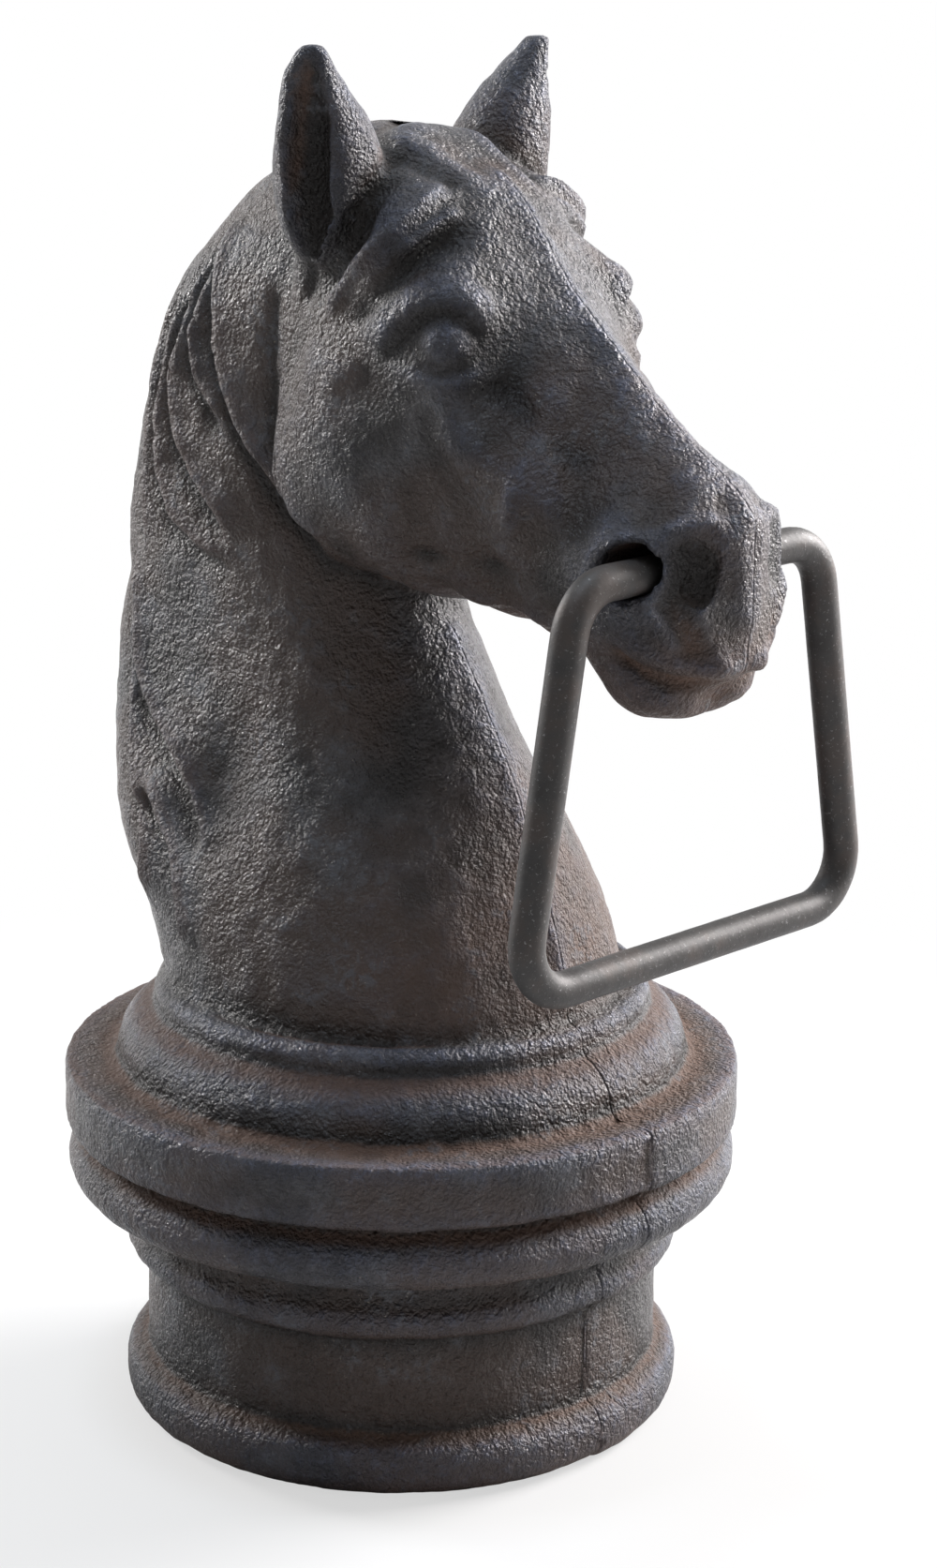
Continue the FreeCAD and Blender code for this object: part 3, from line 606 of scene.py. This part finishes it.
def carved_casting(frame, settings):
    """Merge the two halves of the frame, mesh them evenly and carve the horse's forms."""
    joined = bmesh.new()
    for side in ("right", "left"):
        joined.from_mesh(frame["nodes"][f"{side}_half_casting"].data)
    bmesh.ops.remove_doubles(joined, verts=joined.verts, dist=0.01 * MM)
    x, y, z = THIN_WALL
    for side in (-1, 1):
        centre = Matrix.Translation((x * MM, side * y * MM, z * MM))
        sizes = Matrix.Diagonal((*(reach * MM for reach in THIN_WALL_REACH), 1))
        bmesh.ops.create_icosphere(joined, subdivisions=3, radius=1.0, matrix=centre @ sizes)
    raw = bpy.data.meshes.new("casting_blank")
    joined.to_mesh(raw)
    joined.free()
    blank = bpy.data.objects.new("casting_blank", raw)
    bpy.context.scene.collection.objects.link(blank)
    even = blank.modifiers.new("even_cells", "REMESH")
    even.mode = "VOXEL"
    even.voxel_size = settings.cell
    even.adaptivity = 0.0
    evaluated = blank.evaluated_get(bpy.context.evaluated_depsgraph_get())
    mesh = bpy.data.meshes.new_from_object(evaluated)
    bpy.data.objects.remove(blank)
    bpy.data.meshes.remove(raw)
    low, high = (np.array(corner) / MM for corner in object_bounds())

    places, normals, edges = mesh_arrays(mesh)
    degree = np.bincount(edges.ravel(), minlength=len(places)).astype(float)
    horse = np.clip((places[:, 2] - NECK_ROOT) / 6, 0, 1)[:, None]
    soft = np.clip(horse + 0.06, 0, 1) * np.clip((from_bar(places) - 8) / 12, 0.08, 1)[:, None]
    for _ in range(settings.skin_relaxing):
        for step in (0.6, -0.62):
            places += (neighbour_mean(places, edges, degree) - places) * step * soft
    nape = np.exp(-(((places[:, 2] - NAPE_HEIGHT) / 7) ** 2)) * np.clip(-places[:, 0] / 10, 0, 1)
    folded = places * (1, -1, 1) * (places[:, 1:2] > 0) + places * (places[:, 1:2] <= 0)
    socket = np.clip(1.6 - np.linalg.norm((folded - EYE) / (13, 12, 11), axis=1), 0, 1)
    for easing, rounds in ((nape, 8), (socket, 24)):
        for _ in range(rounds):
            places += (neighbour_mean(places, edges, degree) - places) * 0.7 * easing[:, None]
    on_seam = np.abs(places[:, 1]) < 0.45 * settings.cell / MM
    places[on_seam, 1] = 0

    def store():
        mesh.vertices.foreach_set("co", (places * MM).astype(np.float32).ravel())
        mesh.update()
        return mesh_arrays(mesh)[1]

    normals = store()
    outside = outside_weight(places, normals)
    above = horse[:, 0]
    moved = carve(places, normals, settings) * outside * above
    places += normals * spare_wall(mesh, places, normals, moved)[:, None]
    keel = np.zeros(len(places))
    for height, reach, line in KEEL:
        distance, share, _ = along_line(places, normals, line)
        keel += height * np.exp(-distance / reach) * fade_ends(share, 0.08)
    places += normals * (keel * outside)[:, None]
    normals = store()

    lumps = smooth_noise(places, 7.0, 1) + 0.6 * smooth_noise(places, 3.2, 2)
    skin = np.clip(np.where(places[:, 2] < NECK_ROOT, 0.7, outside), 0.2, 1)
    places += normals * (lumps * skin * settings.lumps / MM)[:, None]
    front = np.clip(places[:, 0] / 20, 0, 1)
    seam = np.exp(-((places[:, 1] / 1.5) ** 2)) * (1 - 0.8 * above)
    places -= normals * (seam * outside * settings.seam_depth / MM)[:, None]
    base = (places[:, 2] < 112) & (places[:, 1] < 0)
    near_seam = np.exp(-((places[:, 1] / 16) ** 2)) * front * base * outside
    places -= normals * (near_seam * settings.seam_step / MM)[:, None]
    places = np.clip(places, low, high + (1.2, 0, 0))
    normals = store()

    wide = places.copy()
    for _ in range(30):
        wide += (neighbour_mean(wide, edges, degree) - wide) * 0.8
    bulge = np.einsum("ij,ij->i", places - wide, normals)
    # Painted shade: cavity marks the hollows and the nostril, which the iron shader darkens nearly to
    # black and dusts with some rust.
    nostril_shade = 0.8 * np.exp(-np.sum(((np.abs(places) - NOSTRIL) / (8, 9, 14)) ** 2, axis=1))
    cavity = np.clip(-bulge / 1.1 + nostril_shade, 0, 1)
    wear_and_sheen = np.clip((bulge - 0.15) / 0.9, 0, 1)
    # Painted sheen: the crest wear is made stronger on upward-facing and frontal surfaces, where the
    # light from above reflects.
    wear_and_sheen *= np.clip(normals[:, 2] * 0.7 + 0.6, 0, 1) * np.clip(1 + places[:, 0] / 40, 0.35, 1)
    edges_of_locks = np.clip((bulge - 0.25) / 0.8, 0, 1) * np.clip(-places[:, 0] / 20, 0, 1) * above
    # Painted bluish sheen: upward-facing surfaces of the face and nose get extra pale colour, standing
    # in for the reflection of the sky.
    face = np.exp(-np.sum(((places - (72, 0, 288)) / (55, 30, 40)) ** 2, axis=1))
    face *= np.clip(normals[:, 2] + 0.1, 0, 1)
    torus = np.exp(-(((places[:, 2] - TORUS) / 4) ** 2)) * (places[:, 2] < TORUS + 5)
    wear_and_sheen = np.clip(wear_and_sheen + 0.45 * face + 0.25 * torus, 0, 1)
    level = np.clip((normals[:, 2] - 0.45) / 0.4, 0, 1)
    ledges = level * np.clip((116 - places[:, 2]) / 3, 0, 1) * outside
    foot = np.clip((15 - places[:, 2]) / 12, 0, 1) * 0.6
    jaw = np.clip((240 - places[:, 2]) / 16, 0, 1) * np.clip((places[:, 0] - 5) / 40, 0, 1) * above
    rim = np.exp(-(((places[:, 2] - FLANGE_EDGE) / 7) ** 2)) * outside
    dust = ledges * 0.9 + foot + rim * 0.42 + jaw * 0.7 + edges_of_locks * 0.55 + (1 - outside) * 0.6
    dust = np.clip(dust, 0, 1)
    for name, values in (("cavity", cavity), ("wear_and_sheen", wear_and_sheen), ("dust", dust)):
        attribute = mesh.attributes.new(name, "FLOAT", "POINT")
        attribute.data.foreach_set("value", values.astype(np.float32))
    return mesh


def half_of(mesh, side, name):
    """Cut the carved casting on its parting plane and close the cut. Side -1 is right, 1 is left."""
    half = bmesh.new()
    half.from_mesh(mesh)
    everything = list(half.verts) + list(half.edges) + list(half.faces)
    result = bmesh.ops.bisect_plane(
        half,
        geom=everything,
        dist=0.02 * MM,
        plane_co=(0, 0, 0),
        plane_no=(0, side, 0),
        clear_inner=True,
    )
    rim = [e for e in result["geom_cut"] if isinstance(e, bmesh.types.BMEdge) and e.is_boundary]
    bmesh.ops.triangle_fill(half, use_beauty=True, use_dissolve=False, edges=rim, normal=(0, -side, 0))
    bmesh.ops.triangulate(half, faces=half.faces)
    bmesh.ops.recalc_face_normals(half, faces=half.faces)
    for face in half.faces:
        face.smooth = not all(abs(vertex.co.y) < 0.03 * MM for vertex in face.verts)
    cut = bpy.data.meshes.new(name)
    half.to_mesh(cut)
    half.free()
    return cut


def new_piece(name, mesh, body, material):
    """Add a finished mesh to the scene as a piece on a body."""
    piece = bpy.data.objects.new(name, mesh)
    bpy.context.scene.collection.objects.link(piece)
    mesh.materials.clear()
    mesh.materials.append(material)
    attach(piece, body)
    return piece


class DressCasting(bpy.types.Operator):
    """Carve and finish the two halves of the casting"""

    bl_idname = "hitching_post.dress_casting"
    bl_label = "Dress Casting"

    def execute(self, context):
        settings = context.scene.casting_settings
        material = iron_material(settings)
        mesh = carved_casting(FRAME, settings)
        for side, label in ((-1, "right"), (1, "left")):
            skin = f"{label}_half_skin"
            piece = new_piece(skin, half_of(mesh, side, skin), "post_top", material)
            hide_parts(f"{label}_half_casting")
        bpy.data.meshes.remove(mesh)
        return {"FINISHED"}


def bar_nodes(material):
    """Build the node group that bends a round bar to a closed four-sided loop."""
    group = bpy.data.node_groups.new("bent_bar", "GeometryNodeTree")
    inputs = (
        ("Bar Radius", "NodeSocketFloat", 0.0045),
        ("Bend Radius", "NodeSocketFloat", 0.013),
        ("Top Width", "NodeSocketFloat", 0.086),
        ("Bottom Width", "NodeSocketFloat", 0.121),
        ("Drop", "NodeSocketFloat", 0.0955),
        ("Place", "NodeSocketVector", (0.0, 0.0, 0.0)),
        ("Unevenness", "NodeSocketFloat", 0.0001),
        ("Seed", "NodeSocketInt", 3),
    )
    for name, kind, default in inputs:
        socket = group.interface.new_socket(name, in_out="INPUT", socket_type=kind)
        socket.default_value = default
    group.interface.new_socket("Geometry", in_out="OUTPUT", socket_type="NodeSocketGeometry")
    add = group.nodes.new
    link = group.links.new
    entry = add("NodeGroupInput").outputs

    loop = add("GeometryNodeCurvePrimitiveQuadrilateral")
    loop.mode = "TRAPEZOID"
    link(entry["Bottom Width"], loop.inputs["Bottom Width"])
    link(entry["Top Width"], loop.inputs["Top Width"])
    link(entry["Drop"], loop.inputs["Height"])
    loop.inputs["Offset"].default_value = 0.0

    bends = add("GeometryNodeFilletCurve")
    bends.mode = "POLY"
    link(loop.outputs["Curve"], bends.inputs["Curve"])
    link(entry["Bend Radius"], bends.inputs["Radius"])
    bends.inputs["Count"].default_value = 10

    stations = add("GeometryNodeResampleCurve")
    link(bends.outputs["Curve"], stations.inputs["Curve"])
    stations.mode = "LENGTH"
    stations.inputs["Length"].default_value = 0.0012

    round_bar = add("GeometryNodeCurvePrimitiveCircle")
    round_bar.inputs["Resolution"].default_value = 28
    link(entry["Bar Radius"], round_bar.inputs["Radius"])
    sweep = add("GeometryNodeCurveToMesh")
    link(stations.outputs["Curve"], sweep.inputs["Curve"])
    link(round_bar.outputs["Curve"], sweep.inputs["Profile Curve"])

    turn = add("GeometryNodeTransform")
    turn.inputs["Rotation"].default_value = (math.pi / 2, 0.0, math.pi / 2)
    link(sweep.outputs["Mesh"], turn.inputs["Geometry"])
    link(entry["Place"], turn.inputs["Translation"])

    rough = add("ShaderNodeTexNoise")
    rough.noise_dimensions = "4D"
    rough.inputs["Scale"].default_value = 160.0
    link(entry["Seed"], rough.inputs["W"])
    centred = add("ShaderNodeMath")
    centred.operation = "SUBTRACT"
    centred.inputs[1].default_value = 1.0
    link(rough.outputs["Fac"], centred.inputs[0])
    depth = add("ShaderNodeMath")
    depth.operation = "MULTIPLY"
    link(centred.outputs[0], depth.inputs[0])
    link(entry["Unevenness"], depth.inputs[1])
    normal = add("GeometryNodeInputNormal")
    push = add("ShaderNodeVectorMath")
    push.operation = "SCALE"
    link(normal.outputs["Normal"], push.inputs[0])
    link(depth.outputs[0], push.inputs["Scale"])
    dent = add("GeometryNodeSetPosition")
    link(turn.outputs["Geometry"], dent.inputs["Geometry"])
    link(push.outputs["Vector"], dent.inputs["Offset"])

    smooth = add("GeometryNodeSetShadeSmooth")
    link(dent.outputs["Geometry"], smooth.inputs["Geometry"])
    real = add("GeometryNodeRealizeInstances")
    link(smooth.outputs["Geometry"], real.inputs["Geometry"])
    paint = add("GeometryNodeSetMaterial")
    paint.inputs["Material"].default_value = material
    link(real.outputs["Geometry"], paint.inputs["Geometry"])
    link(paint.outputs["Geometry"], add("NodeGroupOutput").inputs["Geometry"])
    return group


def grown_mesh(name, group, values):
    """Run a node group with named values and return its mesh."""
    holder = bpy.data.objects.new(name, bpy.data.meshes.new(name))
    bpy.context.scene.collection.objects.link(holder)
    modifier = holder.modifiers.new(name, "NODES")
    modifier.node_group = group
    for item in group.interface.items_tree:
        if item.item_type == "SOCKET" and item.in_out == "INPUT" and item.name in values:
            modifier[item.identifier] = values[item.name]
    bpy.context.view_layer.update()
    evaluated = holder.evaluated_get(bpy.context.evaluated_depsgraph_get())
    mesh = bpy.data.meshes.new_from_object(evaluated)
    bpy.data.objects.remove(holder)
    return mesh


class DressBail(bpy.types.Operator):
    """Bend the bail from a round bar that shows wear"""

    bl_idname = "hitching_post.dress_bail"
    bl_label = "Dress Bail"

    def execute(self, context):
        settings = context.scene.bail_settings
        material = steel_material("worn_steel_bar", settings.steel, 0.55, 0.45)
        low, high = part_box("bail")
        bar = (high.x - low.x) / 2
        drop = high.z - low.z - 2 * bar
        top_half = 0.0432
        bottom_half = 0.0605
        middle = Vector(((low.x + high.x) / 2, 0, (low.z + high.z) / 2))
        mesh = grown_mesh(
            "bail_bar",
            bar_nodes(material),
            {
                "Bar Radius": bar,
                "Bend Radius": 0.013,
                "Top Width": 2 * top_half,
                "Bottom Width": 2 * bottom_half,
                "Drop": drop,
                "Place": middle,
                "Unevenness": settings.unevenness,
            },
        )
        piece = new_piece("bail_bar", mesh, "bail", material)
        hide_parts("bail")
        return {"FINISHED"}


class DressFasteners(bpy.types.Operator):
    """Give the hidden bolts, nuts, washers and pins a dull rusted steel"""

    bl_idname = "hitching_post.dress_fasteners"
    bl_label = "Dress Fasteners"

    def execute(self, context):
        material = steel_material("fastener_steel", (0.12, 0.1, 0.09), 0.35, 0.9)
        for name, node in FRAME["nodes"].items():
            if name.endswith(("bolt", "nut", "washer", "pin")):
                node.data.materials.clear()
                node.data.materials.append(material)
        return {"FINISHED"}


class SetStage(bpy.types.Operator):
    """Put the object on a pale floor, in soft light, before the photograph's camera"""

    bl_idname = "hitching_post.set_stage"
    bl_label = "Set Stage"

    def execute(self, context):
        settings = context.scene.stage_settings
        scene = context.scene
        scene.view_settings.view_transform = "Standard"

        lens = bpy.data.cameras.new("photo_camera")
        lens.sensor_fit = "VERTICAL"
        lens.sensor_height = 36.0
        lens.lens = settings.focal_length
        lens.clip_end = 50.0
        camera = bpy.data.objects.new("photo_camera", lens)
        yaw, pitch, roll = (math.radians(angle) for angle in (134.61, -15.35, 0.43))
        flat = math.cos(pitch)
        forward = Vector((flat * math.cos(yaw), flat * math.sin(yaw), math.sin(pitch)))
        level = forward.cross(Vector((0, 0, 1))).normalized()
        upright = level.cross(forward)
        right = math.cos(roll) * level + math.sin(roll) * upright
        top = -math.sin(roll) * level + math.cos(roll) * upright
        turn = Matrix((right, top, -forward)).transposed()
        camera.matrix_world = Matrix.Translation((0.6041, -0.5877, 0.4004)) @ turn.to_4x4()
        scene.collection.objects.link(camera)
        scene.camera = camera

        floor_mesh = bpy.data.meshes.new("floor")
        build = bmesh.new()
        bmesh.ops.create_circle(build, cap_ends=True, segments=96, radius=6.0)
        build.to_mesh(floor_mesh)
        build.free()
        floor_mesh.materials.append(floor_material("floor_paint", 0.56))
        floor = bpy.data.objects.new("floor", floor_mesh)
        floor.location.z = -0.0002
        scene.collection.objects.link(floor)
        floor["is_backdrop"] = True

        world = bpy.data.worlds.new("studio")
        world.use_nodes = True
        nodes = world.node_tree.nodes
        backdrop = nodes["Background"]
        backdrop.inputs["Color"].default_value = (1.0, 1.0, 1.0, 1.0)
        join = world.node_tree.links.new
        facing = nodes.new("ShaderNodeVectorMath")
        facing.operation = "DOT_PRODUCT"
        facing.inputs[1].default_value = (-0.42, 0.62, 0.66)
        join(nodes.new("ShaderNodeTexCoord").outputs["Generated"], facing.inputs[0])
        sky = nodes.new("ShaderNodeMapRange")
        sky.inputs["From Min"].default_value = 0.0
        sky.inputs["From Max"].default_value = 0.9
        sky.inputs["To Min"].default_value = 0.085 * settings.sky
        sky.inputs["To Max"].default_value = settings.sky
        join(facing.outputs["Value"], sky.inputs["Value"])
        strength = nodes.new("ShaderNodeMix")
        strength.inputs["B"].default_value = 1.0
        path = nodes.new("ShaderNodeLightPath").outputs
        mirrored = nodes.new("ShaderNodeMath")
        mirrored.operation = "MULTIPLY_ADD"
        mirrored.use_clamp = True
        mirrored.inputs[1].default_value = 0.4
        join(path["Is Glossy Ray"], mirrored.inputs[0])
        join(path["Is Camera Ray"], mirrored.inputs[2])
        join(mirrored.outputs[0], strength.inputs["Factor"])
        join(sky.outputs["Result"], strength.inputs["A"])
        join(strength.outputs["Result"], backdrop.inputs["Strength"])
        scene.world = world

        lamps = (
            ("right_back", settings.key_power * 1.15, 0.8, (0.45, 1.4, 0.8), (1.0, 0.965, 0.955)),
            ("left_back", settings.key_power * 0.24, 0.35, (-1.3, -0.2, 0.6), (1.0, 0.98, 0.97)),
            ("overhead", settings.key_power * 0.14, 0.35, (-0.1, -0.2, 1.7), (0.76, 0.87, 1.0)),
        )
        target = Vector((0, 0, 0.2))
        for name, power, span, place, colour in lamps:
            lamp = bpy.data.lights.new(name, "AREA")
            lamp.energy = power
            lamp.size = span
            lamp.color = colour
            item = bpy.data.objects.new(name, lamp)
            item.location = place
            item.rotation_euler = (target - Vector(place)).to_track_quat("-Z", "Y").to_euler()
            scene.collection.objects.link(item)
        return {"FINISHED"}


class PostPanel(bpy.types.Panel):
    """Sidebar panel with the steps and their sizes"""

    bl_idname = "VIEW3D_PT_hitching_post"
    bl_label = "Hitching Post"
    bl_space_type = "VIEW_3D"
    bl_region_type = "UI"
    bl_category = "Hitching Post"

    def draw(self, context):
        groups = (
            (context.scene.casting_settings, DressCasting),
            (context.scene.bail_settings, DressBail),
            (context.scene.stage_settings, SetStage),
        )
        for settings, operator in groups:
            box = self.layout.box()
            for name in settings.__annotations__:
                box.prop(settings, name)
            box.operator(operator.bl_idname)
        self.layout.operator(DressFasteners.bl_idname)


CLASSES = (
    CastingSettings,
    BailSettings,
    StageSettings,
    DressCasting,
    DressBail,
    DressFasteners,
    SetStage,
    PostPanel,
)


def register():
    """Register the classes and the scene's settings."""
    for item in CLASSES:
        bpy.utils.register_class(item)
    bpy.types.Scene.casting_settings = PointerProperty(type=CastingSettings)
    bpy.types.Scene.bail_settings = PointerProperty(type=BailSettings)
    bpy.types.Scene.stage_settings = PointerProperty(type=StageSettings)


def unregister():
    """Remove the settings and the classes."""
    del bpy.types.Scene.stage_settings
    del bpy.types.Scene.bail_settings
    del bpy.types.Scene.casting_settings
    for item in reversed(CLASSES):
        bpy.utils.unregister_class(item)


def main():
    """Dress every piece and set the stage."""
    register()
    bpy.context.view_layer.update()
    bpy.ops.hitching_post.dress_casting()
    bpy.ops.hitching_post.dress_bail()
    bpy.ops.hitching_post.dress_fasteners()
    bpy.ops.hitching_post.set_stage()


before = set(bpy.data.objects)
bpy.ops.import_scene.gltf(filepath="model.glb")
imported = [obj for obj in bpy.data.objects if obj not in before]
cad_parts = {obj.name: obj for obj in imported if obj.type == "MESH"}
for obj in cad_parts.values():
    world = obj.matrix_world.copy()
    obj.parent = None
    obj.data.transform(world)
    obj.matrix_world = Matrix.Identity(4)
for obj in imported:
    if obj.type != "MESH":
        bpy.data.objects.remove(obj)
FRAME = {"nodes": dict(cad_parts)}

if __name__ == "__main__":
    main()
